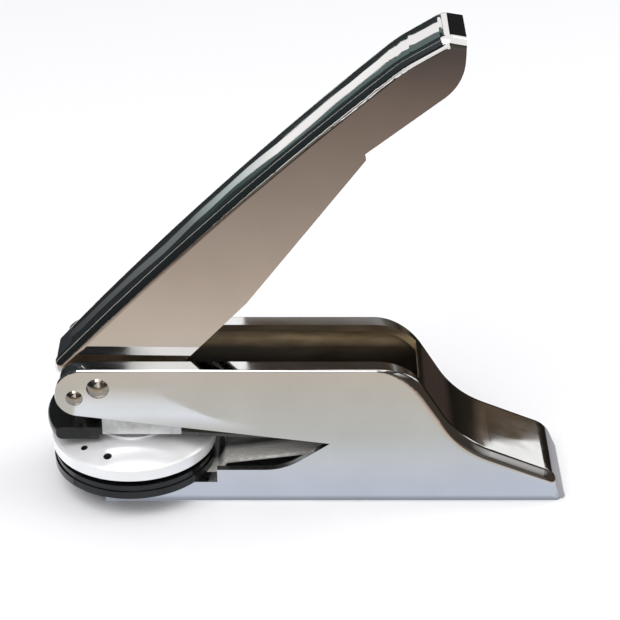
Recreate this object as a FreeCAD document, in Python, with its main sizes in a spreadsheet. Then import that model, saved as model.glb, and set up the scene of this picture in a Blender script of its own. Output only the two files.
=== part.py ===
import FreeCAD, Part
import Sketcher
import math
import os
import re

# Hand seal embosser, in millimetres.
# +X runs from the nose to the tail, +Z is up, and the origin is where the die axis meets the table.

SIZES = {
    # body shell, side view
    "body_width": 31.0,
    "body_wall": 2.2,
    "body_top": 45.7,
    "nose_reach": 20.95,
    "nose_top_radius": 8.0,
    "nose_under_radius": 7.0,
    "nose_underside": 31.25,
    "shoulder_x": 80.9,
    "shoulder_radius": 17.0,
    "waist_x": 96.6,
    "waist_z": 20.56,
    "waist_radius": 30.0,
    "heel_x": 124.7,
    "heel_z": 8.95,
    "heel_radius": 8.0,
    "tail_x": 128.7,
    "ledge_edge_radius": 0.6,
    "back_edge_radius": 3.2,
    # throat and lower jaw
    "throat_back_x": 58.3,
    "throat_back_z": 20.7,
    "throat_rise_x": 44.9,
    "throat_floor": 11.5,
    "throat_floor_radius": 18.0,
    "jaw_step_x": 25.2,
    "jaw_seat": 7.2,
    "jaw_reach": 8.0,
    # lever slot in the top of the body
    "slot_floor": 36.0,
    "slot_end_x": 84.0,
    "slot_clearance": 0.7,
    # pins in the nose
    "pivot_x": -8.4,
    "pivot_z": 39.6,
    "pivot_pin_radius": 2.0,
    "pivot_head_radius": 3.3,
    "pivot_head_height": 1.5,
    "stop_x": -15.3,
    "stop_z": 36.4,
    "stop_pin_radius": 1.5,
    "stop_head_radius": 2.5,
    "stop_head_height": 1.2,
    # lever, drawn in its own frame: u runs along it from the pivot and w stands square to it
    "lever_open_angle": 44.0,
    "lever_stroke": 40.0,
    "lever_nose_half_width": 8.5,
    "lever_tip_half_width": 10.5,
    "lever_wall": 1.5,
    "lever_front": 9.2,
    "lever_front_w": 11.7,
    "lever_front_radius": 3.7,
    "lever_back_radius": 1100.0,
    "lever_brow_inset": 18.2,
    "lever_brow_w": 12.0,
    "lever_brow_radius": 40.0,
    "lever_beak_inset": 4.2,
    "lever_beak_w": 8.8,
    "lever_beak_radius": 5.0,
    "lever_tip_u": 147.2,
    "lever_tip_w": 3.0,
    "lever_palm_inset": 9.7,
    "lever_palm_w": -4.4,
    "lever_palm_rise": 13.0,
    "lever_palm_radius": 14.0,
    "lever_grip_u": 104.2,
    "lever_grip_w": -1.2,
    "lever_grip_step": 1.5,
    "lever_keel_u": 48.0,
    "lever_keel_w": -12.1,
    "lever_heel_u": 22.0,
    "lever_heel_w": -13.4,
    "lever_edge_radius": 3.0,
    "lever_boss_radius": 5.9,
    "stop_notch_angle": 149.5,
    # press cam
    "cam_drop": 5.0,
    "cam_heel_u": 8.5,
    "cam_heel_w": -5.0,
    "cam_top_u": 4.0,
    "cam_top_w": 7.5,
    "cam_back_u": -4.8,
    "cam_back_w": -1.5,
    "cam_rivet_radius": 1.2,
    "cam_rivet_a_u": 6.0,
    "cam_rivet_a_w": -1.2,
    "cam_rivet_b_u": -0.8,
    "cam_rivet_b_w": 5.0,
    # dies and their holders
    "die_gap": 2.2,
    "paper_gap": 0.1,
    "holder_radius": 24.4,
    "holder_rim_wall": 1.7,
    "holder_rim_height": 3.4,
    "holder_shoulder": 0.8,
    "holder_crown": 6.4,
    "holder_boss_radius": 12.0,
    "holder_boss_height": 0.6,
    "holder_mark_inset": 4.9,
    "holder_mark_radius": 0.9,
    "lower_holder_radius": 24.1,
    "lower_holder_thickness": 2.3,
    "lower_holder_lip": 0.4,
    "lower_die_thickness": 1.9,
    "upper_die_thickness": 2.0,
    "die_ring_radius": 16.0,
    "die_core_radius": 6.0,
    "die_ring_width": 0.8,
    "die_ring_height": 0.35,
    "die_groove_margin": 0.4,
    "die_groove_depth": 0.6,
    # die clip, a bent spring strip
    "clip_half_width": 10.2,
    "clip_thickness": 1.0,
    "clip_tongue_x": 8.0,
    "clip_rise_x": 27.5,
    "clip_rise_z": 10.8,
    "clip_bend_x": 63.0,
    "clip_bend_low": 15.5,
    "clip_bend_high": 18.8,
    "clip_bend_radius": 1.55,
    "clip_arm_x": 25.0,
    "clip_arm_z": 20.4,
    # plunger, its spring and its guide
    "plunger_radius": 3.0,
    "plunger_head_radius": 6.1,
    "plunger_head_thickness": 2.0,
    "spring_wire": 0.8,
    "spring_turns": 4.0,
    "spring_radius": 5.5,
    "collar_radius": 4.6,
    "collar_height": 3.6,
    "block_bottom": 22.6,
    "block_web": 3.2,
    "block_back_x": 15.0,
    "block_front_x": -8.0,
    "guard_reach": 25.3,
    "guard_bottom": 20.9,
    "guard_height": 4.0,
    "guard_round": 1.5,
    "guard_tenon_half_width": 4.0,
    "guard_tenon_length": 3.0,
    "washer_radius": 4.4,
    "washer_thickness": 0.6,
    # base
    "base_thickness": 2.0,
    "base_end_x": 119.0,
    "jaw_inset": 2.0,
    "screw_radius": 1.5,
    "screw_head_radius": 2.9,
    "front_screw_length": 5.2,
    "front_screw_x": 14.0,
    "front_screw_y": 9.5,
    "rear_screw_length": 9.0,
    "rear_screw_x": 100.0,
    "rear_screw_y": 6.5,
    "screw_boss_radius": 3.5,
    "drive_width": 0.6,
    # small screws and rivets
    "holder_screw_radius": 2.0,
    "holder_screw_head_radius": 3.8,
    "holder_screw_length": 13.0,
    "seat_screw_radius": 1.25,
    "seat_screw_head_radius": 2.4,
    "seat_screw_length": 5.5,
    "seat_screw_y": 10.0,
    "clip_rivet_radius": 1.0,
    "clip_rivet_head_radius": 1.8,
    "clip_rivet_inset": 6.1,
    "clip_rivet_y": 6.0,
    # clearances
    "running_fit": 0.05,
    "side_clearance": 0.1,
    "spring_clearance": 0.05,
}

doc = FreeCAD.newDocument("SealEmbosser")
sheet = doc.addObject("Spreadsheet::Sheet", "Sizes")
NODES = []

# Formulas that several pieces share.
JAW_SLOPE = "( ( nose_underside - throat_back_z ) / ( throat_back_x + nose_reach ) )"
SEAT_TOP = "( jaw_seat + lower_holder_thickness )"
LOWER_FACE = f"( {SEAT_TOP} + lower_die_thickness )"
RIM = f"( {LOWER_FACE} + die_gap )"
RECESS = f"( {RIM} + upper_die_thickness )"
HOLDER_TOP = f"( {RIM} + holder_crown + holder_boss_height )"
TONGUE_TOP = f"( {HOLDER_TOP} + clip_thickness )"
TRAVEL = "( die_gap - paper_gap )"
HEAD_TOP = "( pivot_z - cam_drop )"
HEAD_UNDER = f"( {HEAD_TOP} - plunger_head_thickness )"
INNER_HALF = "( body_width / 2 - body_wall )"
CHEEK_INNER = "( lever_nose_half_width + washer_thickness + side_clearance )"
CHEEK_OUTER = f"( {INNER_HALF} - side_clearance )"
WEB_TOP = "( block_bottom + block_web )"
FLARE = "( ( lever_tip_half_width - lever_nose_half_width ) / lever_tip_u )"
SLOT_HALF = f"( lever_nose_half_width + {FLARE} * ( slot_end_x - pivot_x ) + slot_clearance )"
BROW_U = "( lever_tip_u - lever_brow_inset )"
BEAK_U = "( lever_tip_u - lever_beak_inset )"
PALM_U = "( lever_tip_u - lever_palm_inset )"
CAM_HALF = "( lever_nose_half_width - lever_wall - side_clearance )"
UPPER_DIE_RADIUS = "( holder_radius - holder_rim_wall )"
LOWER_DIE_RADIUS = "( lower_holder_radius - lower_holder_lip )"
CLIP_RIVET_X = "( lower_holder_radius - clip_rivet_inset )"
TENON_LOW = "( block_bottom + 0.6 )"
TENON_HIGH = "( guard_bottom + guard_height - 0.3 )"


def fill_sheet():
    for row, (alias, value) in enumerate(SIZES.items(), start=1):
        sheet.set(f"A{row}", alias)
        sheet.set(f"B{row}", str(value))
        sheet.setAlias(f"B{row}", alias)
    doc.recompute()


def size(alias):
    return float(sheet.get(alias))


def cell(formula):
    """Turn the bare size names of a formula into references to the sheet."""
    return re.sub(r"[a-z_]+", lambda word: f"Sizes.{word[0]}" if word[0] in SIZES else word[0], formula)


def value(formula):
    """The number that a formula gives with the sheet's present sizes."""
    return float(sheet.evalExpression(
        re.sub(r"[a-z_]+", lambda word: str(size(word[0])) if word[0] in SIZES else word[0], formula)
    ))


def bind(thing, **formulas):
    for prop, formula in formulas.items():
        thing.setExpression(prop, cell(formula))


def new_body(name):
    return doc.addObject("PartDesign::Body", name)


def new_sketch(body, name, role="XZ_Plane"):
    sketch = body.newObject("Sketcher::SketchObject", name)
    plane = next(item for item in body.Origin.OriginFeatures if item.Role == role)
    sketch.AttachmentSupport = [(plane, "")]
    sketch.MapMode = "FlatFace"
    return sketch


def hold(sketch, kind, first, second, start, formula):
    index = sketch.addConstraint(Sketcher.Constraint(kind, -1, 1, first, second, start))
    sketch.setExpression(f"Constraints[{index}]", cell(formula))


def polygon(sketch, corners, arcs={}):
    """Closed outline through pairs of formulas. An arc bulges outward from its corner to the next."""
    count = len(corners)
    points = [FreeCAD.Vector(value(across), value(up), 0) for across, up in corners]
    start = sketch.GeometryCount
    for i in range(count):
        one, two = points[i], points[(i + 1) % count]
        if i in arcs:
            radius = value(arcs[i])
            way = (two - one).normalize()
            sagitta = radius - math.sqrt(radius ** 2 - (two - one).Length ** 2 / 4)
            middle = (one + two) * 0.5 + FreeCAD.Vector(-way.y, way.x, 0) * sagitta
            sketch.addGeometry(Part.Arc(two, middle, one), False)
        else:
            sketch.addGeometry(Part.LineSegment(one, two), False)
    for i in range(count):
        following = (i + 1) % count
        end = 1 if i in arcs else 2
        first = 2 if following in arcs else 1
        sketch.addConstraint(Sketcher.Constraint("Coincident", start + i, end, start + following, first))
    for i, (across, up) in enumerate(corners):
        first = 2 if i in arcs else 1
        hold(sketch, "DistanceX", start + i, first, points[i].x, across)
        hold(sketch, "DistanceY", start + i, first, points[i].y, up)
    for i, radius in arcs.items():
        index = sketch.addConstraint(Sketcher.Constraint("Radius", start + i, value(radius)))
        sketch.setExpression(f"Constraints[{index}]", cell(radius))


def pad(body, sketch, length):
    feature = body.newObject("PartDesign::Pad", sketch.Name + "_pad")
    feature.Profile = sketch
    feature.SideType = "Symmetric"
    bind(feature, Length=length)
    doc.recompute()


def slab(name, corners, width, arcs={}):
    """A side outline, padded evenly to both sides of the middle plane."""
    body = new_body(name)
    outline = new_sketch(body, name + "_outline")
    polygon(outline, corners, arcs)
    pad(body, outline, width)
    return body, outline


def turned(name, corners, arcs={}):
    """A profile of radius and height, revolved about the die axis."""
    body = new_body(name)
    outline = new_sketch(body, name + "_profile")
    polygon(outline, corners, arcs)
    feature = body.newObject("PartDesign::Revolution", name + "_turned")
    feature.Profile = outline
    feature.ReferenceAxis = (outline, ["V_Axis"])
    feature.Angle = 360
    doc.recompute()
    return body


def round_corners(body, sketch, radii):
    """Round the edges that run across the body from the sketch's corners: corner number to size."""
    for corner, alias in radii.items():
        straight = sketch.Geometry[corner].TypeId == "Part::GeomLineSegment"
        at = sketch.getPoint(corner, 1 if straight else 2)
        names = []
        for number, edge in enumerate(body.Shape.Edges, start=1):
            ends = [vertex.Point for vertex in edge.Vertexes]
            if len(ends) == 2 and abs(ends[0].y - ends[1].y) > 1:
                if all(abs(end.x - at.x) + abs(end.z - at.y) < 0.01 for end in ends):
                    names.append(f"Edge{number}")
        feature = body.newObject("PartDesign::Fillet", f"{sketch.Name}_round_{corner}")
        feature.Base = (feature.BaseFeature, names)
        bind(feature, Radius=alias)
        doc.recompute()


def hollow(body, wall, floor):
    """Leave a wall of even thickness, open at the flat underside."""
    under = [
        f"Face{number}"
        for number, face in enumerate(body.Shape.Faces, start=1)
        if face.BoundBox.ZMax < floor + 0.001
    ]
    feature = body.newObject("PartDesign::Thickness", body.Name + "_hollow")
    feature.Base = (feature.BaseFeature, under)
    bind(feature, Value=wall)
    feature.Reversed = True
    doc.recompute()


def primitive(kind, name, at=("0", "0", "0"), turn=None, **formulas):
    """A Part primitive with bound sizes at a bound place."""
    thing = doc.addObject(f"Part::{kind}", name)
    bind(thing, **formulas)
    if turn:
        axis, angle = turn
        rotation = FreeCAD.Rotation(FreeCAD.Vector(*axis), angle)
        thing.Placement = FreeCAD.Placement(FreeCAD.Vector(), rotation)
    for axis, formula in zip("xyz", at):
        thing.setExpression(f".Placement.Base.{axis}", cell(formula))
    return thing


def box(name, low, high):
    spans = [f"( {top} ) - ( {bottom} )" for bottom, top in zip(low, high)]
    return primitive("Box", name, low, Length=spans[0], Width=spans[1], Height=spans[2])


def upright(name, x, y, z, radius, height):
    return primitive("Cylinder", name, (x, y, z), Radius=radius, Height=height)


def across(name, x, z, radius, length):
    """A cylinder along Y, centred on the middle plane."""
    return primitive(
        "Cylinder", name, (x, f"( {length} ) / 2", z), ((1, 0, 0), 90), Radius=radius, Height=length
    )


def cut(name, base, *tools):
    tool = tools[0] if len(tools) == 1 else fuse(name + "_tools", *tools)
    result = doc.addObject("Part::Cut", name)
    result.Base = base
    result.Tool = tool
    doc.recompute()
    if result.Shape.Volume > base.Shape.Volume - 0.01:
        raise RuntimeError(f"{name} cut nothing")
    return result


def gather(kind, name, parts):
    result = doc.addObject(kind, name)
    if kind == "Part::Compound":
        result.Links = list(parts)
    else:
        result.Shapes = list(parts)
    doc.recompute()
    return result


def fuse(name, *parts):
    return gather("Part::MultiFuse", name, parts)


def common(name, *parts):
    return gather("Part::MultiCommon", name, parts)


def group(name, *parts):
    return gather("Part::Compound", name, parts)


def keep(thing, label):
    thing.Label = label
    NODES.append(thing)


def countersunk(name, at, radius, head, length, up=True, allowance="0"):
    """A countersunk screw or rivet whose flat head lies at the given point."""
    wide = f"{head} + {allowance}"
    thin = f"{radius} + {allowance}"
    turn = None if up else ((1, 0, 0), 180)
    cone = primitive(
        "Cone", name + "_head", at, turn, Radius1=wide, Radius2=thin, Height=f"{head} - {radius}"
    )
    shank = primitive("Cylinder", name + "_shank", at, turn, Radius=thin, Height=length)
    return fuse(name + "_blank", cone, shank)


def cross_recess(name, at, head, up=True):
    """Two crossed slots for a screwdriver, sunk in a screw's head."""
    x, y, z = at
    depth = f"{head} * 0.3"
    low = z if up else f"{z} - {depth}"
    high = f"{z} + {depth}" if up else z
    reach = f"{head} * 0.5"
    bars = []
    for number, (dx, dy) in enumerate([(reach, "drive_width / 2"), ("drive_width / 2", reach)]):
        bottom = (f"{x} - {dx}", f"{y} - {dy}", low)
        top = (f"{x} + {dx}", f"{y} + {dy}", high)
        bars.append(box(f"{name}_bar_{number}", bottom, top))
    return fuse(name + "_recess", *bars)


def screw(name, at, radius, head, length, up=True):
    blank = countersunk(name, at, radius, head, length, up)
    return cut(name, blank, cross_recess(name, at, head, up))


def domed_rivet(name, x, z, radius, head_radius, head_height):
    """A rivet right across the body with a shallow dome on each side plate."""
    ball = f"( ( {head_radius} ^ 2 + {head_height} ^ 2 ) / ( 2 * {head_height} ) )"
    centre = f"( body_width / 2 + {head_height} - {ball} )"
    shank = across(name + "_shank", x, z, radius, "body_width")
    heads = []
    for side, sign, angle in (("near", "-", 90), ("far", "", -90)):
        heads.append(primitive(
            "Sphere", f"{name}_{side}_head", (x, f"{sign} {centre}", z), ((1, 0, 0), angle),
            Radius=ball, Angle1=f"asin( ( {ball} - {head_height} ) / {ball} )", Angle2="90",
        ))
    return fuse(name, shank, *heads)


def outer_form():
    """The body's outside: side outline, rounded corners, hollowed from below."""
    body, outline = slab("body_form", [
        ("- nose_reach", "0"),
        ("- nose_reach", "body_top"),
        ("shoulder_x", "body_top"),
        ("waist_x", "waist_z"),
        ("heel_x", "heel_z"),
        ("tail_x", "0"),
    ], "body_width")
    round_corners(body, outline, {
        1: "nose_top_radius",
        2: "shoulder_radius",
        3: "waist_radius",
        4: "heel_radius",
    })
    solid_form = body.Shape.copy()
    hollow(body, "body_wall", 0)
    return body, solid_form


def soft_back(body):
    """Round the top's long edges: crisp along the level ledges, full along the back and the tail."""
    half = size("body_width") / 2
    crisp = size("ledge_edge_radius")
    full = size("back_edge_radius")
    top = size("body_top") - 0.001
    edges = []
    for number, edge in enumerate(body.Shape.Edges, start=1):
        bounds = edge.BoundBox
        if abs(abs(bounds.YMin) - half) > 0.001 or bounds.YLength > 0.001:
            continue
        low, high = sorted((vertex.Point for vertex in edge.Vertexes), key=lambda point: point.x)
        if high.z < 0.001 and low.z < 0.001:
            continue
        if low.x < size("nose_top_radius") - size("nose_reach") - 0.01:
            continue
        if high.z > top:
            edges.append((number, crisp, crisp))
        elif low.z > top:
            rises = edge.Vertexes[0].Point.x < edge.Vertexes[1].Point.x
            edges.append((number, crisp, full) if rises else (number, full, crisp))
        else:
            edges.append((number, full, full))
    rounded = doc.addObject("Part::Fillet", "body_soft")
    rounded.Base = body
    rounded.Edges = edges
    doc.recompute()
    return rounded


def throat_space():
    """The space of the dies and the throat between the jaws, and the air ahead of the lower jaw."""
    body, outline = slab("throat_space", [
        ("- nose_reach * 2", "body_top - nose_top_radius"),
        ("- nose_reach", "body_top - nose_top_radius"),
        ("- nose_reach", "nose_underside"),
        ("throat_back_x", "throat_back_z"),
        ("throat_rise_x", "throat_floor"),
        ("jaw_step_x", "throat_floor"),
        ("jaw_step_x", "jaw_seat"),
        ("- jaw_reach", "jaw_seat"),
        ("- jaw_reach", "- 1"),
        ("- nose_reach * 2", "- 1"),
    ], "body_width * 2")
    round_corners(body, outline, {2: "nose_under_radius", 4: "throat_floor_radius"})
    return body


def screw_bosses(form):
    """Two posts that hang from the shell's roof and take the rear base screws."""
    whole = doc.addObject("Part::Feature", "body_whole")
    whole.Shape = form
    posts = []
    for name, side in (("near", "-"), ("far", "")):
        posts.append(upright(
            f"{name}_post", "rear_screw_x", f"{side} rear_screw_y", "base_thickness",
            "screw_boss_radius", "body_top",
        ))
    return common("posts_in_shell", whole, fuse("posts", *posts))


def base_screw_places():
    front = "front_screw_length"
    rear = "rear_screw_length"
    return [
        ("front_near", ("front_screw_x", "- front_screw_y", "0"), front),
        ("front_far", ("front_screw_x", "front_screw_y", "0"), front),
        ("rear_near", ("rear_screw_x", "- rear_screw_y", "0"), rear),
        ("rear_far", ("rear_screw_x", "rear_screw_y", "0"), rear),
    ]


def body_shell():
    form, solid_form = outer_form()
    soft = soft_back(form)
    posts = screw_bosses(solid_form)
    bossed = fuse("shell_with_posts", soft, posts)
    slot = box(
        "lever_slot",
        ("- nose_reach * 2", f"- {SLOT_HALF}", "slot_floor"),
        ("slot_end_x", SLOT_HALF, "body_top * 2"),
    )
    pivot = across("pivot_hole", "pivot_x", "pivot_z", "pivot_pin_radius", "body_width * 2")
    stop = across("stop_hole", "stop_x", "stop_z", "stop_pin_radius", "body_width * 2")
    threads = [
        upright(f"{name}_thread", at[0], at[1], "base_thickness - 1", "screw_radius", f"{length} - 1")
        for name, at, length in base_screw_places()
        if name.startswith("rear")
    ]
    keep(cut("shell_cut", bossed, throat_space(), slot, pivot, stop, *threads), "body_shell")


def base_plate():
    front = "( jaw_inset - jaw_reach )"
    plate = box(
        "plate_blank", (front, f"- {CHEEK_OUTER}", "0"), ("base_end_x", CHEEK_OUTER, "base_thickness")
    )
    holes = [
        countersunk(f"{name}_hole", at, "screw_radius", "screw_head_radius", length, True, "running_fit")
        for name, at, length in base_screw_places()
    ]
    keep(cut("plate_cut", plate, *holes), "base_plate")


def base_screws():
    screws = [
        screw(f"{name}_screw", at, "screw_radius", "screw_head_radius", length)
        for name, at, length in base_screw_places()
    ]
    keep(group("base_screw_group", *screws), "base_screws")


def seat_screw_places():
    return [
        ("near_seat", ("0", "- seat_screw_y", SEAT_TOP)),
        ("far_seat", ("0", "seat_screw_y", SEAT_TOP)),
    ]


def jaw_block():
    """The anvil between the lower jaw's walls, with a recess for the clip's tongue."""
    front = "( jaw_inset - jaw_reach )"
    back = "( jaw_step_x - side_clearance )"
    blank = box(
        "jaw_blank", (front, f"- {CHEEK_OUTER}", "base_thickness"), (back, CHEEK_OUTER, "jaw_seat")
    )
    recess = box(
        "tongue_recess",
        ("clip_tongue_x - side_clearance", "- clip_half_width - side_clearance", "jaw_seat - clip_thickness"),
        (f"{back} + 1", "clip_half_width + side_clearance", "jaw_seat + 1"),
    )
    threads = [
        upright(f"{name}_jaw_thread", at[0], at[1], "base_thickness - 1", "screw_radius",
                "front_screw_length - base_thickness + 1")
        for name, at, _ in base_screw_places()
        if name.startswith("front")
    ]
    for name, at in seat_screw_places():
        threads.append(upright(
            f"{name}_thread", at[0], at[1], f"{SEAT_TOP} - seat_screw_length", "seat_screw_radius",
            "seat_screw_length",
        ))
    keep(cut("jaw_cut", blank, recess, *threads), "jaw_block")


def nose_block():
    """The block inside the nose: two cheeks on the rivets, a web below and the plunger's guide collar."""
    inner_front = "( body_wall - nose_reach + side_clearance )"
    inner_top = "( body_top - body_wall - side_clearance )"
    corner = "( nose_top_radius - body_wall )"
    blank, _ = slab("block_blank", [
        ("block_front_x", "block_bottom"),
        ("block_back_x", "block_bottom"),
        ("block_back_x", f"{WEB_TOP} + 4"),
        ("pivot_x + 7", inner_top),
        (f"{inner_front} + {corner}", inner_top),
        (inner_front, f"{inner_top} - {corner}"),
        (inner_front, "stop_z - 2.4"),
        ("stop_x + 2.4", "nose_underside - 0.4"),
        ("block_front_x", "nose_underside - 1"),
    ], f"{CHEEK_OUTER} * 2")
    room = box(
        "block_room",
        ("- nose_reach * 2", f"- {CHEEK_INNER}", WEB_TOP),
        ("block_back_x * 2", CHEEK_INNER, "body_top * 2"),
    )
    collar = upright("collar", "0", "0", "block_bottom", "collar_radius", "block_web + collar_height")
    bore = upright(
        "plunger_bore", "0", "0", "block_bottom - 1", "plunger_radius + running_fit", "body_top"
    )
    pivot = across("block_pivot_hole", "pivot_x", "pivot_z", "pivot_pin_radius", "body_width")
    stop = across("block_stop_hole", "stop_x", "stop_z", "stop_pin_radius", "body_width")
    pocket = box(
        "tenon_pocket",
        ("block_front_x - 1", "- guard_tenon_half_width", TENON_LOW),
        ("block_front_x + guard_tenon_length", "guard_tenon_half_width", TENON_HIGH),
    )
    cheeks = cut("cheeks", blank, room, pivot, stop, pocket)
    keep(cut("block_cut", fuse("block_with_collar", cheeks, collar), bore), "nose_block")


def nose_guard():
    """The round-fronted chin under the nose, pressed into the block by a tenon."""
    top = "( guard_bottom + guard_height )"
    side = "( block_front_x - 1.2 )"
    body, _ = slab("guard_side", [
        ("- guard_reach - 1", "guard_bottom"),
        ("- guard_reach - 1", top),
        ("block_front_x", top),
        ("block_front_x", "block_bottom"),
        (side, "block_bottom"),
        (side, "guard_bottom"),
    ], f"{CHEEK_OUTER} * 2")
    front = turned("guard_front", [
        ("1", "guard_bottom"),
        ("1", top),
        ("guard_reach - guard_round", top),
        ("guard_reach", f"{top} - guard_round"),
        ("guard_reach", "guard_bottom + guard_round"),
        ("guard_reach - guard_round", "guard_bottom"),
    ], {2: "guard_round", 4: "guard_round"})
    tenon = box(
        "guard_tenon",
        ("block_front_x - 1", "- guard_tenon_half_width", TENON_LOW),
        ("block_front_x + guard_tenon_length", "guard_tenon_half_width", TENON_HIGH),
    )
    keep(fuse("guard", common("guard_round_front", body, front), tenon), "nose_guard")


def rivets_and_washers():
    pivot = domed_rivet(
        "pivot_rivet", "pivot_x", "pivot_z", "pivot_pin_radius", "pivot_head_radius", "pivot_head_height"
    )
    keep(pivot, "lever_pivot_rivet")
    stop = domed_rivet(
        "stop_rivet", "stop_x", "stop_z", "stop_pin_radius", "stop_head_radius", "stop_head_height"
    )
    keep(stop, "front_rivet")
    washers = []
    for name, top in (("near", f"- {CHEEK_INNER} + washer_thickness"), ("far", CHEEK_INNER)):
        at = ("pivot_x", top, "pivot_z")
        turn = ((1, 0, 0), 90)
        disc = primitive("Cylinder", f"{name}_disc", at, turn, Radius="washer_radius", Height="washer_thickness")
        hole = across(
            f"{name}_washer_hole", "pivot_x", "pivot_z", "pivot_pin_radius + running_fit", "body_width"
        )
        washers.append(cut(f"{name}_washer", disc, hole))
    keep(group("washer_pair", *washers), "pivot_washers")


def raise_lever(thing):
    """Set a piece drawn in the lever's own frame on the pivot, at the open angle."""
    thing.Placement = FreeCAD.Placement(FreeCAD.Vector(), FreeCAD.Rotation(FreeCAD.Vector(0, 1, 0), -1))
    thing.setExpression(".Placement.Rotation.Angle", cell("- lever_open_angle"))
    thing.setExpression(".Placement.Base.x", cell("pivot_x"))
    thing.setExpression(".Placement.Base.z", cell("pivot_z"))
    doc.recompute()


def cam_rivet_places():
    return [("a", "cam_rivet_a_u", "cam_rivet_a_w"), ("b", "cam_rivet_b_u", "cam_rivet_b_w")]


def lever_form(name, inset):
    """The lever before its lower edge is cut, or its inside at an inset: it flares and its top edges are round."""
    deep = f"( lever_heel_w - 10 - {inset} )"
    body, outline = slab(name, [
        (f"{inset} - lever_front", deep),
        (f"{inset} - lever_front", f"lever_front_w - {inset}"),
        (BROW_U, f"lever_brow_w - {inset}"),
        (f"{BEAK_U} - {inset} * 0.6", f"lever_beak_w - {inset} * 0.9"),
        (f"lever_tip_u - {inset}", f"lever_tip_w - {inset} * 0.35"),
        (f"lever_tip_u - {inset}", deep),
    ], "lever_tip_half_width * 3", {1: "lever_back_radius"})
    round_corners(body, outline, {
        1: f"lever_front_radius - {inset}",
        2: f"lever_brow_radius - {inset}",
        3: f"lever_beak_radius - {inset}",
    })
    plan = new_sketch(body, name + "_flare", "XY_Plane")
    ends = ("( - lever_front - 5 )", "( lever_tip_u + 5 )")
    for sign in ("", "- "):
        edge = [(u, f"{sign}( lever_nose_half_width - {inset} + {FLARE} * {u} )") for u in ends]
        far = [(u, f"{sign}lever_tip_half_width * 2") for u in reversed(ends)]
        polygon(plan, edge + far)
    flare = body.newObject("PartDesign::Pocket", name + "_flare_cut")
    flare.Profile = plan
    flare.Type = "ThroughAll"
    flare.SideType = "Symmetric"
    doc.recompute()
    narrow = value(f"lever_nose_half_width - {inset} - {FLARE} * lever_front") - 0.01
    seeds = [
        f"Edge{number}"
        for number, edge in enumerate(body.Shape.Edges, start=1)
        if is_lever_rim(edge, narrow, value(deep) + 0.01)
    ]
    soft = body.newObject("PartDesign::Fillet", name + "_soft_edges")
    soft.Base = (soft.BaseFeature, seeds)
    bind(soft, Radius=f"lever_edge_radius - {inset}")
    doc.recompute()
    return body


def is_lever_rim(edge, narrow, deep):
    """True for an edge between a side plate and the front, top or tip of the lever."""
    ends = [vertex.Point for vertex in edge.Vertexes]
    if len(ends) != 2 or ends[0].y * ends[1].y < 0:
        return False
    return min(abs(end.y) for end in ends) > narrow and max(end.z for end in ends) > deep


def lever_shell():
    under, outline = slab("lever_underspace", [
        ("0", "0"),
        ("- 2 * lever_front * cos( 180 - stop_notch_angle )", "2 * lever_front * sin( 180 - stop_notch_angle )"),
        ("- 4 * lever_front", "lever_front"),
        ("- 4 * lever_front", "lever_heel_w * 3"),
        (f"{PALM_U} + lever_palm_rise", "lever_heel_w * 3"),
        (f"{PALM_U} + lever_palm_rise", "lever_palm_w + lever_palm_rise"),
        (PALM_U, "lever_palm_w"),
        ("lever_grip_u", "lever_grip_w"),
        ("lever_grip_u - 1", "lever_grip_w - lever_grip_step"),
        ("lever_keel_u", "lever_keel_w"),
        ("lever_heel_u", "lever_heel_w"),
        ("- lever_boss_radius * 0.3", "- lever_boss_radius * 0.94"),
    ], "lever_tip_half_width * 4")
    round_corners(under, outline, {6: "lever_palm_radius"})
    pivot_boss = across("lever_boss_room", "0", "0", "lever_boss_radius", "lever_tip_half_width * 6")
    cutter = cut("lever_cutter", under, pivot_boss)
    pivot = across("lever_pivot_hole", "0", "0", "pivot_pin_radius + running_fit", "body_width")
    rivets = [
        across(f"lever_rivet_hole_{name}", u, w, "cam_rivet_radius", "body_width")
        for name, u, w in cam_rivet_places()
    ]
    inside = lever_form("lever_inside", "lever_wall")
    lever = cut("lever_cut", lever_form("lever_outside", "0"), inside, cutter, pivot, *rivets)
    raise_lever(lever)
    keep(lever, "lever_shell")


def cam_face():
    """Points of the involute that turns the lever's swing into an even push on the plunger."""
    stroke = math.radians(size("lever_stroke"))
    rate = value(TRAVEL) / stroke
    steps = 12
    points = []
    for i in range(steps + 1):
        turn = stroke * i / steps
        lean = math.radians(size("lever_open_angle")) - turn
        drop = size("cam_drop") - size("running_fit") + rate * turn
        u = rate * math.cos(lean) - drop * math.sin(lean)
        w = -drop * math.cos(lean) - rate * math.sin(lean)
        points.append(FreeCAD.Vector(u, 0, w))
    return points


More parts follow.
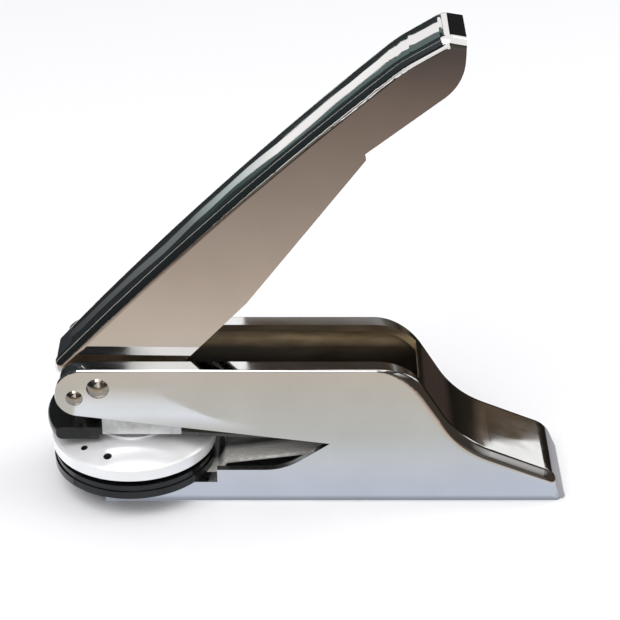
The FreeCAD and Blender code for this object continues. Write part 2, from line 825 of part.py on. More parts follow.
def press_cam():
    face = cam_face()
    corners = [
        (size("cam_heel_u"), size("cam_heel_w")),
        (size("cam_heel_u"), -size("cam_back_w")),
        (size("cam_top_u"), size("cam_top_w")),
        (-size("cam_top_u") * 0.6, size("cam_top_w")),
        (size("cam_back_u"), -size("cam_back_w")),
        (size("cam_back_u"), size("cam_back_w")),
    ]
    outline = [face[-1]] + [FreeCAD.Vector(u, 0, w) for u, w in corners] + [face[0]]
    curve = Part.BSplineCurve()
    curve.interpolate(face)
    edges = [curve.toShape()]
    for start, end in zip(outline, outline[1:]):
        edges.append(Part.makeLine(start, end))
    half = FreeCAD.Vector(0, value(CAM_HALF), 0)
    plate = Part.Face(Part.Wire(Part.__sortEdges__(edges)))
    plate.translate(-half)
    blank = doc.addObject("Part::Feature", "cam_blank")
    blank.Shape = plate.extrude(half * 2)
    holes = [across("cam_pivot_hole", "0", "0", "pivot_pin_radius + running_fit", "body_width")]
    for name, u, w in cam_rivet_places():
        holes.append(across(f"cam_rivet_hole_{name}", u, w, "cam_rivet_radius", "body_width"))
    cam = cut("cam_cut", blank, *holes)
    raise_lever(cam)
    keep(cam, "press_cam")
    rivets = [
        across(f"cam_rivet_{name}", u, w, "cam_rivet_radius", "lever_nose_half_width * 2")
        for name, u, w in cam_rivet_places()
    ]
    pair = group("cam_rivet_pair", *rivets)
    raise_lever(pair)
    keep(pair, "cam_rivets")


def plunger():
    shank = upright("plunger_shank", "0", "0", TONGUE_TOP, "plunger_radius", f"{HEAD_TOP} - {TONGUE_TOP}")
    head = upright("plunger_head", "0", "0", HEAD_UNDER, "plunger_head_radius", "plunger_head_thickness")
    thread = upright(
        "plunger_thread", "0", "0", f"{TONGUE_TOP} - 1", "holder_screw_radius",
        f"{RECESS} + holder_screw_length - {TONGUE_TOP} + 1",
    )
    keep(cut("plunger_cut", fuse("plunger_blank", shank, head), thread), "plunger")


def upper_die_holder():
    bore = "( holder_screw_radius + running_fit )"
    shell = turned("holder_turned", [
        (bore, RECESS),
        (f"{UPPER_DIE_RADIUS} + running_fit", RECESS),
        (f"{UPPER_DIE_RADIUS} + running_fit", RIM),
        ("holder_radius", RIM),
        ("holder_radius", f"{RIM} + holder_rim_height"),
        ("holder_radius - holder_shoulder", f"{RIM} + holder_rim_height + holder_shoulder / 2"),
        ("holder_boss_radius", f"{RIM} + holder_crown"),
        ("holder_boss_radius", HOLDER_TOP),
        (bore, HOLDER_TOP),
    ])
    seat = countersunk(
        "holder_screw_seat", ("0", "0", RECESS), "holder_screw_radius", "holder_screw_head_radius",
        "holder_screw_length", True, "running_fit",
    )
    circle = "( holder_radius - holder_mark_inset )"
    marks = [
        upright(
            f"holder_mark_{angle}", f"{circle} * cos( {angle} )", f"{circle} * sin( {angle} )",
            f"{RIM} + holder_rim_height - 0.4", "holder_mark_radius", "holder_crown",
        )
        for angle in (226, 251)
    ]
    keep(cut("holder_cut", shell, seat, *marks), "upper_die_holder")
    keep(screw(
        "holder_screw", ("0", "0", RECESS), "holder_screw_radius", "holder_screw_head_radius",
        "holder_screw_length",
    ), "upper_holder_screw")


def ring(name, radius, half, low, high):
    return turned(name, [
        (f"{radius} - {half}", low),
        (f"{radius} + {half}", low),
        (f"{radius} + {half}", high),
        (f"{radius} - {half}", high),
    ])


def dies():
    """Two plain round dies: raised rings on the upper one press into the lower one's grooves."""
    half = "( die_ring_width / 2 )"
    wide = f"( {half} + die_groove_margin )"
    upper = upright("upper_disc", "0", "0", RIM, UPPER_DIE_RADIUS, "upper_die_thickness")
    lower = upright("lower_disc", "0", "0", SEAT_TOP, LOWER_DIE_RADIUS, "lower_die_thickness")
    raised = []
    grooves = []
    for name, radius in (("ring", "die_ring_radius"), ("core", "die_core_radius")):
        raised.append(ring(f"{name}_raised", radius, half, f"{RIM} - die_ring_height", f"{RIM} + 0.5"))
        grooves.append(ring(
            f"{name}_groove", radius, wide, f"{LOWER_FACE} - die_groove_depth", f"{LOWER_FACE} + 0.5"
        ))
    keep(fuse("upper_die_blank", upper, *raised), "upper_die")
    keep(cut("lower_die_cut", lower, *grooves), "lower_die")


def clip_rivet_places():
    return [
        ("near", (CLIP_RIVET_X, "- clip_rivet_y", SEAT_TOP)),
        ("far", (CLIP_RIVET_X, "clip_rivet_y", SEAT_TOP)),
    ]


def lower_die_holder():
    disc = upright("lower_holder_disc", "0", "0", "jaw_seat", "lower_holder_radius", "lower_holder_thickness")
    holes = [
        countersunk(f"{name}_hole", at, "seat_screw_radius", "seat_screw_head_radius",
                    "seat_screw_length", False, "running_fit")
        for name, at in seat_screw_places()
    ]
    for name, at in clip_rivet_places():
        holes.append(countersunk(
            f"{name}_holder_rivet_hole", at, "clip_rivet_radius", "clip_rivet_head_radius",
            "lower_holder_thickness + 1", False,
        ))
    keep(cut("lower_holder_cut", disc, *holes), "lower_die_holder")
    screws = [
        screw(f"{name}_screw", at, "seat_screw_radius", "seat_screw_head_radius",
              "seat_screw_length", False)
        for name, at in seat_screw_places()
    ]
    keep(group("seat_screw_pair", *screws), "lower_holder_screws")


def strip(points, radii, thickness):
    """Side face of a bent strip: its centre line's points, a bend radius at each inner point."""
    bends = []
    for i in range(1, len(points) - 1):
        into = (points[i] - points[i - 1]).normalize()
        out = (points[i + 1] - points[i]).normalize()
        angle = into.getAngle(out)
        side = 1 if into.cross(out).y < 0 else -1
        normal = FreeCAD.Vector(-into.z, 0, into.x) * side
        start = points[i] - into * (radii[i - 1] * math.tan(angle / 2))
        centre = start + normal * radii[i - 1]
        end = points[i] + out * (radii[i - 1] * math.tan(angle / 2))
        bends.append((start, points[i], end, centre, radii[i - 1], side))

    def one_side(offset):
        """The line and arc edges at an offset to the left of the centre line, and its two ends."""
        edges = []
        heading = (points[1] - points[0]).normalize()
        at = points[0] + FreeCAD.Vector(-heading.z, 0, heading.x) * offset
        first = at
        for start, corner, end, centre, radius, side in bends:
            scale = (radius - side * offset) / radius
            arc_start = centre + (start - centre) * scale
            arc_end = centre + (end - centre) * scale
            arc_middle = centre + (corner - centre).normalize() * (radius - side * offset)
            edges.append(Part.makeLine(at, arc_start))
            edges.append(Part.Arc(arc_start, arc_middle, arc_end).toShape())
            at = arc_end
        heading = (points[-1] - points[-2]).normalize()
        last = points[-1] + FreeCAD.Vector(-heading.z, 0, heading.x) * offset
        edges.append(Part.makeLine(at, last))
        return edges, first, last

    left, left_first, left_last = one_side(thickness / 2)
    right, right_first, right_last = one_side(-thickness / 2)
    ends = [Part.makeLine(left_first, right_first), Part.makeLine(left_last, right_last)]
    return Part.Face(Part.Wire(Part.__sortEdges__(left + right + ends)))


def die_clip():
    """The spring strip that joins the two die holders round the back of the throat."""
    half = size("clip_half_width")
    thick = size("clip_thickness")
    low = size("jaw_seat") - thick / 2
    high = value(TONGUE_TOP) - thick / 2
    bend = size("clip_bend_radius")
    points = [FreeCAD.Vector(x, 0, z) for x, z in [
        (size("clip_tongue_x"), low),
        (size("jaw_step_x") + thick * 0.3, low),
        (size("clip_rise_x"), size("clip_rise_z")),
        (size("clip_bend_x"), size("clip_bend_low")),
        (size("clip_bend_x"), size("clip_bend_high")),
        (size("clip_arm_x"), size("clip_arm_z")),
        (size("holder_boss_radius") + 1.5, high),
        (-size("holder_boss_radius") * 0.7, high),
    ]]
    face = strip(points, [thick * 0.8, thick, bend, bend, thick * 10, thick * 10], thick)
    face.translate(FreeCAD.Vector(0, -half, 0))
    blank = doc.addObject("Part::Feature", "clip_blank")
    blank.Shape = face.extrude(FreeCAD.Vector(0, half * 2, 0))
    holes = [upright(
        "clip_screw_hole", "0", "0", f"{HOLDER_TOP} - 1", "holder_screw_radius + running_fit", "body_top"
    )]
    for name, at in clip_rivet_places():
        holes.append(upright(
            f"{name}_clip_hole", at[0], at[1], "jaw_seat - clip_thickness - 1", "clip_rivet_radius",
            "clip_thickness + 2",
        ))
    keep(cut("clip_cut", blank, *holes), "die_clip")
    rivets = [
        countersunk(f"{name}_clip_rivet", at, "clip_rivet_radius", "clip_rivet_head_radius",
                    "lower_holder_thickness + clip_thickness", False)
        for name, at in clip_rivet_places()
    ]
    keep(group("clip_rivet_pair", *rivets), "clip_rivets")


def biarc(start, start_way, end, end_way):
    """Two arcs that leave one point in its direction and arrive at another in its own."""
    gap = end - start
    way = start_way + end_way
    a = 2 * (1 - start_way.dot(end_way))
    b = 2 * gap.dot(way)
    c = -gap.dot(gap)
    reach = (-b + math.sqrt(b * b - 4 * a * c)) / (2 * a)
    joint = (start + start_way * reach + end - end_way * reach) * 0.5
    return [arc_along(start, start_way, joint), arc_along(end, -end_way, joint)]


def arc_along(start, way, end):
    """The arc from one point, in a direction, to another point."""
    chord = end - start
    square = (chord - way * chord.dot(way)).normalize()
    radius = chord.dot(chord) / (2 * chord.dot(square))
    centre = start + square * radius
    middle = centre + ((start + end) * 0.5 - centre).normalize() * radius
    return Part.Arc(start, middle, end).toShape()


def return_spring():
    """An open coil round the guide collar, one unbroken tube on quarter-turn biarcs."""
    radius = size("spring_radius")
    wire = size("spring_wire")
    gap = size("spring_clearance")
    low = value(WEB_TOP) + wire / 2 + gap
    high = value(HEAD_UNDER) - wire / 2 - gap
    turns = size("spring_turns")
    pitch = (high - low) / turns
    steps = int(round(turns * 4))

    def point(angle):
        z = low + pitch * angle / (2 * math.pi)
        return FreeCAD.Vector(radius * math.cos(angle), radius * math.sin(angle), z)

    def heading(angle):
        rise = pitch / (2 * math.pi)
        way = FreeCAD.Vector(-radius * math.sin(angle), radius * math.cos(angle), rise)
        return way.normalize()

    edges = []
    for i in range(steps):
        one = 2 * math.pi * turns * i / steps
        two = 2 * math.pi * turns * (i + 1) / steps
        edges.extend(biarc(point(one), heading(one), point(two), heading(two)))
    path = Part.Wire(Part.__sortEdges__(edges))
    section = Part.Wire([Part.makeCircle(wire / 2, point(0), heading(0))])
    coil = path.makePipeShell([section], True, False)
    samples = [point(2 * math.pi * turns * i / 400) for i in range(401)]
    least = min(
        (one - two).Length - wire
        for i, one in enumerate(samples)
        for two in samples[i + int(300 / turns):]
    )
    print("spring: least gap to itself", round(least, 3), "mm")
    print("spring: volume", round(coil.Volume, 2), "against", round(path.Length * math.pi * wire ** 2 / 4, 2))
    thing = doc.addObject("Part::Feature", "spring_coil")
    thing.Shape = coil
    keep(thing, "return_spring")


def check():
    for thing in doc.Objects:
        if "Invalid" in thing.State or "Error" in thing.State:
            raise RuntimeError(f"{thing.Name} failed: {thing.State}")
    for node in NODES:
        if node.Shape.isNull() or not node.Shape.isValid():
            raise RuntimeError(f"{node.Label} has no valid shape")


def main():
    fill_sheet()
    body_shell()
    base_plate()
    base_screws()
    jaw_block()
    nose_block()
    nose_guard()
    rivets_and_washers()
    lever_shell()
    press_cam()
    plunger()
    return_spring()
    upper_die_holder()
    dies()
    lower_die_holder()
    die_clip()
    doc.recompute()
    check()
    os.makedirs("parts", exist_ok=True)
    for node in NODES:
        shape = node.Shape
        print(node.Label, len(shape.Solids), "solids,", round(shape.Volume, 1), "mm3")
        shape.exportStep(f"parts/{node.Label}.step")


main()
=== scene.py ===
import math

import bpy
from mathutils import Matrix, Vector

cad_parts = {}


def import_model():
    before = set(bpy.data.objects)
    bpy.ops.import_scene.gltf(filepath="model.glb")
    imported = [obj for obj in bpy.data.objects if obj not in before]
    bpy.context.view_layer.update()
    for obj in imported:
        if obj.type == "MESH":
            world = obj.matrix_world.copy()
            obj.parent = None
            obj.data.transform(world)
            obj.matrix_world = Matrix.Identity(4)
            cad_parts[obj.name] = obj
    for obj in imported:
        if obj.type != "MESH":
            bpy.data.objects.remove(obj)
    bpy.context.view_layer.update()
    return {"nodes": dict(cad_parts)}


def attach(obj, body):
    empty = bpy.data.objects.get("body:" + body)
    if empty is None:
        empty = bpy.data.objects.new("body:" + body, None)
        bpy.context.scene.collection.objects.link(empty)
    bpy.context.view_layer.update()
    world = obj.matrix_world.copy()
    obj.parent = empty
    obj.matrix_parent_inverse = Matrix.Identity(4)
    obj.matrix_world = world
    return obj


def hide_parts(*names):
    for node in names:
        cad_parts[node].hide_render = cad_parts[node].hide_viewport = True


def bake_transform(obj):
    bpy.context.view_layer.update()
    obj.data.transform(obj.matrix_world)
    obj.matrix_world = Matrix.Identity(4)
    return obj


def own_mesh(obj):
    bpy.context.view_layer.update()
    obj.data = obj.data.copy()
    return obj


# Every place and length below is in metres, unless its comment says otherwise.
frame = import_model()
nodes = frame["nodes"]

WHITE = (1.0, 1.0, 1.0)
BLACK = (0.015, 0.016, 0.016)


def grey(value):
    return (value, value, value)


def shaded(colour, share):
    return tuple(channel * share for channel in colour)


def feed(tree, socket, value):
    """Set an input to a value, or link it to the output that gives it."""
    if isinstance(value, bpy.types.NodeSocket):
        tree.links.new(value, socket)
    else:
        socket.default_value = value


def place(tree):
    """The point that is shaded, in the piece's own coordinates."""
    return tree.nodes.new("ShaderNodeTexCoord").outputs["Object"]


def part(tree, vector, axis):
    split = tree.nodes.new("ShaderNodeSeparateXYZ")
    feed(tree, split.inputs[0], vector)
    return split.outputs[axis]


def maths(tree, operation, *values):
    node = tree.nodes.new("ShaderNodeMath")
    node.operation = operation
    for socket, value in zip(node.inputs, values):
        feed(tree, socket, value)
    return node.outputs[0]


def over(tree, value, limit):
    """1 where the value is above the limit, else 0."""
    return maths(tree, "GREATER_THAN", value, limit)


def under(tree, value, limit):
    """1 where the value is below the limit, else 0."""
    return maths(tree, "LESS_THAN", value, limit)


def both(tree, first, second):
    return maths(tree, "MULTIPLY", first, second)


def either(tree, first, *others):
    for other in others:
        first = maths(tree, "MAXIMUM", first, other)
    return first


def span(tree, value, low, high, start=0.0, end=1.0):
    """From start to end, as the value goes from low to high."""
    node = tree.nodes.new("ShaderNodeMapRange")
    for name, given in (
        ("Value", value), ("From Min", low), ("From Max", high), ("To Min", start), ("To Max", end),
    ):
        feed(tree, node.inputs[name], given)
    return node.outputs["Result"]


def mixed(tree, factor, first, second, blend="MIX"):
    """The first colour where the factor is 0, going over to its blend with the second at 1."""
    node = tree.nodes.new("ShaderNodeMix")
    node.data_type = "RGBA"
    node.blend_type = blend
    for name, given in (("Factor", factor), ("A", first), ("B", second)):
        feed(tree, node.inputs[name], given)
    return node.outputs["Result"]


def ramp(tree, value, stops):
    """Colours by stops of (share, colour)."""
    node = tree.nodes.new("ShaderNodeValToRGB")
    elements = node.color_ramp.elements
    while len(elements) < len(stops):
        elements.new(0.5)
    for element, (share, colour) in zip(elements, stops):
        element.position = share
        element.color = (*colour, 1)
    feed(tree, node.inputs["Fac"], value)
    return node.outputs["Color"]


def noise(tree, scale, detail, stretch=(1, 1, 1)):
    """Noise over the piece's own coordinates."""
    mapping = tree.nodes.new("ShaderNodeMapping")
    feed(tree, mapping.inputs["Vector"], place(tree))
    feed(tree, mapping.inputs["Scale"], stretch)
    texture = tree.nodes.new("ShaderNodeTexNoise")
    feed(tree, texture.inputs["Vector"], mapping.outputs["Vector"])
    feed(tree, texture.inputs["Scale"], scale)
    feed(tree, texture.inputs["Detail"], detail)
    return texture.outputs["Fac"]


def bump(tree, height, strength, distance, shader):
    node = tree.nodes.new("ShaderNodeBump")
    feed(tree, node.inputs["Strength"], strength)
    feed(tree, node.inputs["Distance"], distance)
    feed(tree, node.inputs["Height"], height)
    feed(tree, shader.inputs["Normal"], node.outputs["Normal"])


def new_material(name, metallic=0.0):
    material = bpy.data.materials.new(name)
    material.use_nodes = True
    tree = material.node_tree
    shader = tree.nodes["Principled BSDF"]
    feed(tree, shader.inputs["Metallic"], metallic)
    return material, tree, shader


def set_look(tree, shader, colour, rough):
    feed(tree, shader.inputs["Base Color"], colour)
    feed(tree, shader.inputs["Roughness"], rough)


def look_so_far(shader, name):
    """The output that feeds an input of the shader now."""
    return shader.inputs[name].links[0].from_socket


def chrome(name, colour, rough=(0.04, 0.12), wave=0.35):
    """Bright plating: nearly a mirror, with faint polishing haze and gentle waves from buffing."""
    material, tree, shader = new_material(name, metallic=1.0)
    haze = noise(tree, 55, 4)
    smear = noise(tree, 160, 5, stretch=(0.35, 1, 1))
    set_look(
        tree, shader,
        ramp(tree, haze, [(0.3, shaded(colour, 0.93)), (0.7, colour)]),
        ramp(tree, smear, [(0.35, grey(rough[0])), (0.75, grey(rough[1]))]),
    )
    bump(tree, noise(tree, 38, 1), wave, 0.0006, shader)
    return material


def shell_chrome(name, colour):
    """Chrome outside; dull where faces look inward between the side plates, with painted shade
    there.
    """
    inner_half, slack = 0.0133, 0.0002
    facing, sloping = 0.7, 0.3
    shade_foot_z, shade_top_z = 0.032, 0.0457
    inner_metallic = 0.25
    material = chrome(name, colour)
    tree = material.node_tree
    shader = tree.nodes["Principled BSDF"]
    point = place(tree)
    normal = tree.nodes.new("ShaderNodeNewGeometry").outputs["True Normal"]
    turned = {axis: part(tree, normal, axis) for axis in "XYZ"}
    at = {axis: part(tree, point, axis) for axis in "XYZ"}
    between = under(tree, maths(tree, "ABSOLUTE", at["Y"]), inner_half + slack)
    inward = either(
        tree,
        over(tree, maths(tree, "ABSOLUTE", turned["Y"]), facing),
        under(tree, turned["Z"], -sloping),
        both(tree, under(tree, turned["X"], -facing), over(tree, at["X"], 0.0)),
        both(tree, over(tree, turned["X"], facing), under(tree, at["X"], 0.0)),
    )
    inside = both(tree, between, inward)
    grain = noise(tree, 90, 5, stretch=(1, 4, 4))
    # Painted shade on those faces: dark low and high, with a painted tan reflection band between; a
    # random grain darkens it in specks.
    painted_inside_shade = ramp(tree, span(tree, at["Z"], shade_foot_z, shade_top_z), [
        (0.0, (0.03, 0.022, 0.015)),
        (0.30, (0.12, 0.09, 0.06)),
        (0.55, (0.72, 0.53, 0.30)),
        (0.80, (0.18, 0.13, 0.08)),
    ])
    speckle = ramp(tree, grain, [(0.35, grey(0.35)), (0.65, grey(1.0))])
    shade_and_grain_inside = mixed(tree, 0.6, painted_inside_shade, speckle, blend="MULTIPLY")
    rough_inside = ramp(tree, grain, [(0.3, grey(0.32)), (0.7, grey(0.5))])
    set_look(
        tree, shader,
        mixed(tree, inside, look_so_far(shader, "Base Color"), shade_and_grain_inside),
        mixed(tree, inside, look_so_far(shader, "Roughness"), rough_inside),
    )
    feed(tree, shader.inputs["Metallic"], span(tree, inside, 0.0, 1.0, 1.0, inner_metallic))
    return material


def brushed(name, colour, rough, along=(1, 14, 14), metallic=1.0):
    material, tree, shader = new_material(name, metallic)
    lines = noise(tree, 420, 6, stretch=along)
    set_look(
        tree, shader,
        ramp(tree, lines, [(0.3, shaded(colour, 0.8)), (0.7, colour)]),
        ramp(tree, lines, [(0.3, grey(rough * 0.7)), (0.7, grey(rough * 1.3))]),
    )
    bump(tree, lines, 0.25, 0.00004, shader)
    return material


def clip_strip(name):
    """Rolled spring strip: pale at the near edge of the lower arm, with painted shade above and
    behind it.
    """
    dark_above, dark_behind = ("Z", 0.0155, 0.0180), ("Y", -0.0050, -0.0020)
    material = brushed(name, (1.0, 0.98, 0.92), 0.25, along=(1, 18, 1), metallic=0.15)
    tree = material.node_tree
    shader = tree.nodes["Principled BSDF"]
    point = place(tree)
    spans = [
        span(tree, part(tree, point, axis), low, high)
        for axis, low, high in (dark_above, dark_behind)
    ]
    # Painted shade: the strip darkens above the lower arm and behind its near edge.
    feed(tree, shader.inputs["Base Color"], mixed(
        tree, either(tree, *spans), look_so_far(shader, "Base Color"),
        (0.08, 0.08, 0.075, 1), blend="MULTIPLY",
    ))
    return material


def black_gloss(name):
    material, tree, shader = new_material(name)
    speck = noise(tree, 240, 4)
    set_look(
        tree, shader,
        ramp(tree, speck, [(0.3, grey(0.006)), (0.75, grey(0.014))]),
        ramp(tree, speck, [(0.3, grey(0.1)), (0.8, grey(0.22))]),
    )
    feed(tree, shader.inputs["IOR"], 1.5)
    bump(tree, noise(tree, 90, 2), 0.2, 0.0003, shader)
    return material


def satin_black(name):
    material, tree, shader = new_material(name)
    grain = noise(tree, 900, 5)
    set_look(
        tree, shader,
        ramp(tree, grain, [(0.3, grey(0.02)), (0.7, grey(0.035))]),
        ramp(tree, grain, [(0.3, grey(0.4)), (0.7, grey(0.6))]),
    )
    bump(tree, grain, 0.3, 0.00005, shader)
    return material


def dome_metal(name, colour):
    """Rivet heads with a painted dark reflection by view angle: bright where they face the eye,
    brown-dark towards the rim.
    """
    material, tree, shader = new_material(name, metallic=1.0)
    # Painted reflection: the layer weight's facing turns the heads brown-dark towards the rim.
    edge = tree.nodes.new("ShaderNodeLayerWeight")
    feed(tree, edge.inputs["Blend"], 0.5)
    wear = noise(tree, 500, 3)
    worn = ramp(tree, wear, [(0.3, shaded(colour, 0.85)), (0.7, colour)])
    set_look(
        tree, shader,
        mixed(tree, edge.outputs["Facing"], worn, (0.10, 0.07, 0.045, 1)),
        ramp(tree, wear, [(0.3, grey(0.12)), (0.7, grey(0.22))]),
    )
    return material


def satin_chrome(name, colour):
    """The upper holder's fine-turned chrome, in circles round the die axis, with painted shade in
    and round its two small holes.
    """
    # Painted shade: dark discs over the holes and a little round them, on a circle round the die
    # axis.
    shaded_hole_circle = 0.0195
    shaded_holes = ((226, 0.001), (251, 0.00125))  # (degrees round the die axis, radius)
    material, tree, shader = new_material(name, metallic=0.3)
    point = place(tree)
    rings = tree.nodes.new("ShaderNodeTexWave")
    rings.wave_type = "RINGS"
    rings.rings_direction = "Z"
    feed(tree, rings.inputs["Scale"], 620)
    feed(tree, rings.inputs["Distortion"], 0.4)
    feed(tree, rings.inputs["Vector"], point)
    turned = ramp(tree, rings.outputs["Fac"], [(0.0, shaded(colour, 0.985)), (1.0, colour)])
    flat = tree.nodes.new("ShaderNodeCombineXYZ")
    for axis in "XY":
        feed(tree, flat.inputs[axis], part(tree, point, axis))
    in_hole_shade = []
    for degrees, radius in shaded_holes:
        angle = math.radians(degrees)
        away = tree.nodes.new("ShaderNodeVectorMath")
        away.operation = "DISTANCE"
        feed(tree, away.inputs[0], flat.outputs[0])
        feed(tree, away.inputs[1], (shaded_hole_circle * math.cos(angle), shaded_hole_circle * math.sin(angle), 0))
        in_hole_shade.append(under(tree, away.outputs["Value"], radius))
    set_look(
        tree, shader,
        mixed(tree, either(tree, *in_hole_shade), turned, (*grey(0.035), 1)),
        ramp(tree, rings.outputs["Fac"], [(0.0, grey(0.22)), (1.0, grey(0.26))]),
    )
    return material


FINISHES = [
    (shell_chrome("shell_chrome", (0.88, 0.875, 0.87)), ["body_shell"]),
    (chrome("lever_chrome", (0.86, 0.845, 0.83), rough=(0.008, 0.03), wave=0.12), ["lever_shell"]),
    (satin_chrome("holder_chrome", (0.95, 0.95, 0.96)), ["upper_die_holder"]),
    (dome_metal("rivet_metal", (0.66, 0.60, 0.53)), ["lever_pivot_rivet", "front_rivet"]),
    (brushed("machined_steel", (0.52, 0.52, 0.54), 0.28), [
        "base_screws", "pivot_washers", "press_cam", "cam_rivets", "plunger", "return_spring",
        "upper_holder_screw", "lower_holder_screws", "clip_rivets",
    ]),
    (clip_strip("spring_strip"), ["die_clip"]),
    (brushed("cast_zinc", (0.74, 0.74, 0.75), 0.2, along=(1, 1, 1)), ["nose_block", "jaw_block"]),
    (black_gloss("die_black"), ["upper_die", "lower_die", "lower_die_holder", "nose_guard"]),
    (satin_black("base_coat"), ["base_plate"]),
]
for finish, names in FINISHES:
    for name in names:
        piece = nodes[name]
        piece.data.materials.clear()
        piece.data.materials.append(finish)


def springy(node, name):
    """A copy of a sprung strip or coil that stands for its node."""
    piece = bpy.data.objects.new(name, nodes[node].data.copy())
    bpy.context.collection.objects.link(piece)
    piece.matrix_world = nodes[node].matrix_world
    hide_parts(node)
    return piece


coil = springy("return_spring", "return_coil")
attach(coil, "frame")
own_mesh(coil)
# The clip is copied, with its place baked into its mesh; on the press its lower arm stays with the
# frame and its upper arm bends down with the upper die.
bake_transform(springy("die_clip", "bending_clip"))

# The planes of the studio cards round the press. Where a plane has layers, the last of them is the
# nearest to the press and hides the others.
FRONT, FRONT_1, FRONT_2 = -0.42, -0.419, -0.4185
BACK, BACK_1, BACK_2, BACK_3, BACK_4 = 0.15, 0.149, 0.1486, 0.1484, 0.1482
LEFT, LEFT_1 = -0.2, -0.199
RIGHT = 0.42
GROUND, GROUND_1, GROUND_2 = 0.0004, 0.0006, 0.0008
CEILING = 0.45
BODY_SIDE = -0.0158  # just clear of the body
TAIL_END = 0.1288  # just clear of the tail
BACK_SPLIT = 0.028  # where the bluish back ends and the brown one begins

# Where the lever's top mirrors the back plane, from pivot to tip: the line that its middle mirrors
# and the step from there to the line of its far edge, as (x, z, step in x, step in z) in mm.
LEVER_VIEW = [
    (-103.3, 20.5, 4.0, 1.3), (-93.1, 33.6, 4.1, 1.2), (-81.9, 47.7, 4.1, 0.9),
    (-69.2, 64.8, 4.4, 0.7), (-55.1, 80.2, 4.0, 0.4), (-41.2, 95.4, 4.1, 0.1),
    (-27.5, 111.4, 4.5, -0.8), (-12.9, 125.9, 4.4, 0.2), (-1.1, 137.7, 4.2, -0.4),
    (9.2, 147.7, 3.8, -0.9), (12.2, 150.3, 3.7, -0.9), (18.8, 163.0, 3.5, -1.6),
    (25.3, 171.3, 3.2, -2.0), (30.6, 176.3, 3.1, -2.3), (37.5, 180.4, 3.0, -2.3),
    (59.4, 198.2, 2.1, -3.2),
]
TEAL_FROM = 4  # the first point of LEVER_VIEW that the teal band reaches


def seen_line(across, y):
    """The line at depth y that the lever's top mirrors, at a share of its half width."""
    return [((x + across * dx) / 1000, y, (z + across * dz) / 1000) for x, z, dx, dz in LEVER_VIEW]


def card(name, corners, axis, stops, blotch=0.0):
    """A card that only polished metal sees, with stops of (place, colour) along one axis.

    The blotch is how far noise moves the stops.
    """
    mesh = bpy.data.meshes.new(name)
    mesh.from_pydata(corners, [], [tuple(range(len(corners)))])
    piece = bpy.data.objects.new(name, mesh)
    bpy.context.collection.objects.link(piece)
    material = bpy.data.materials.new(name)
    material.use_nodes = True
    tree = material.node_tree
    tree.nodes.clear()
    output = tree.nodes.new("ShaderNodeOutputMaterial")
    glow = tree.nodes.new("ShaderNodeEmission")
    at = part(tree, place(tree), axis)
    if blotch:
        at = maths(tree, "MULTIPLY_ADD", noise(tree, 12, 2), blotch, at)
    low, high = stops[0][0], stops[-1][0]
    shares = [((stop - low) / (high - low), colour) for stop, colour in stops]
    feed(tree, glow.inputs["Color"], ramp(tree, span(tree, at, low, high), shares))
    feed(tree, output.inputs["Surface"], glow.outputs["Emission"])
    mesh.materials.append(material)
    piece.visible_camera = False
    piece.visible_diffuse = False
    piece.visible_shadow = False
    piece.visible_transmission = False


def level(name, x, y, height, axis, stops, blotch=0.0):
    corners = [
        (x[0], y[0], height), (x[1], y[0], height), (x[1], y[1], height), (x[0], y[1], height),
    ]
    card(name, corners, axis, stops, blotch)


def standing(name, start, end, z, stops, blotch=0.0):
    corners = [(*start, z[0]), (*end, z[0]), (*end, z[1]), (*start, z[1])]
    card(name, corners, "Z", stops, blotch)


def cards_in_front():
    """A warm table with a painted contact shadow along the body, dark corners and a pale streak on
    the left.
    """
    level("table_front", (-0.5, 0.7), (FRONT, BODY_SIDE), GROUND, "Y", [
        (FRONT, (0.02, 0.018, 0.015)),
        (-0.32, (0.10, 0.08, 0.07)),
        (-0.25, (0.22, 0.17, 0.14)),
        (-0.19, (0.31, 0.25, 0.21)),
        (-0.13, (0.46, 0.38, 0.32)),
        (-0.09, (0.60, 0.52, 0.44)),
        (-0.070, (0.55, 0.52, 0.47)),
        (-0.045, (0.55, 0.56, 0.54)),
        (-0.030, (0.60, 0.63, 0.68)),
        (BODY_SIDE, (0.55, 0.60, 0.70)),
    ], 0.012)
    # Painted contact shadow: a band that darkens towards the body's foot.
    level("painted_contact_shadow", (-0.03, 0.2), (-0.0180, -0.0157), GROUND_1, "Y", [
        (-0.0180, (0.50, 0.55, 0.64)),
        (-0.0157, (0.22, 0.24, 0.29)),
    ])
    card("pale_patch", [
        (-0.022, -0.076, GROUND_2), (0.0, -0.076, GROUND_2), (0.020, -0.062, GROUND_2),
        (0.038, -0.053, GROUND_2), (-0.022, -0.053, GROUND_2),
    ], "Y", [
        (-0.076, (0.57, 0.53, 0.47)),
        (-0.068, (0.78, 0.80, 0.83)),
        (-0.062, (0.82, 0.85, 0.90)),
        (-0.053, (0.56, 0.56, 0.54)),
    ])
    standing("dark_front_left", (-0.9, FRONT), (-0.05, FRONT), (0, CEILING), [
        (0.0, BLACK),
        (CEILING, BLACK),
    ])
    card("pale_line", [
        (-0.36, FRONT_1, 0.0), (-0.27, FRONT_1, 0.0), (-0.05, FRONT_1, 0.20),
        (-0.05, FRONT_1, 0.28),
    ], "Z", [(0.0, (0.5, 0.52, 0.5)), (0.2, WHITE)])
    card("brown_corner", [
        (-0.27, FRONT_2, 0.0), (-0.05, FRONT_2, 0.0), (-0.05, FRONT_2, 0.20),
    ], "Z", [
        (0.0, (0.12, 0.10, 0.08)),
        (0.2, (0.30, 0.25, 0.21)),
    ])
    standing("dark_front_right", (-0.05, FRONT), (RIGHT, FRONT), (0, 0.05), [
        (0.0, (0.03, 0.025, 0.02)),
        (0.04, (0.10, 0.09, 0.08)),
        (0.05, WHITE),
    ])
    standing("dark_front_corner", (0.11, FRONT_1), (RIGHT, FRONT_1), (0.04, CEILING), [
        (0.04, (0.10, 0.09, 0.08)),
        (CEILING, (0.04, 0.034, 0.03)),
    ])


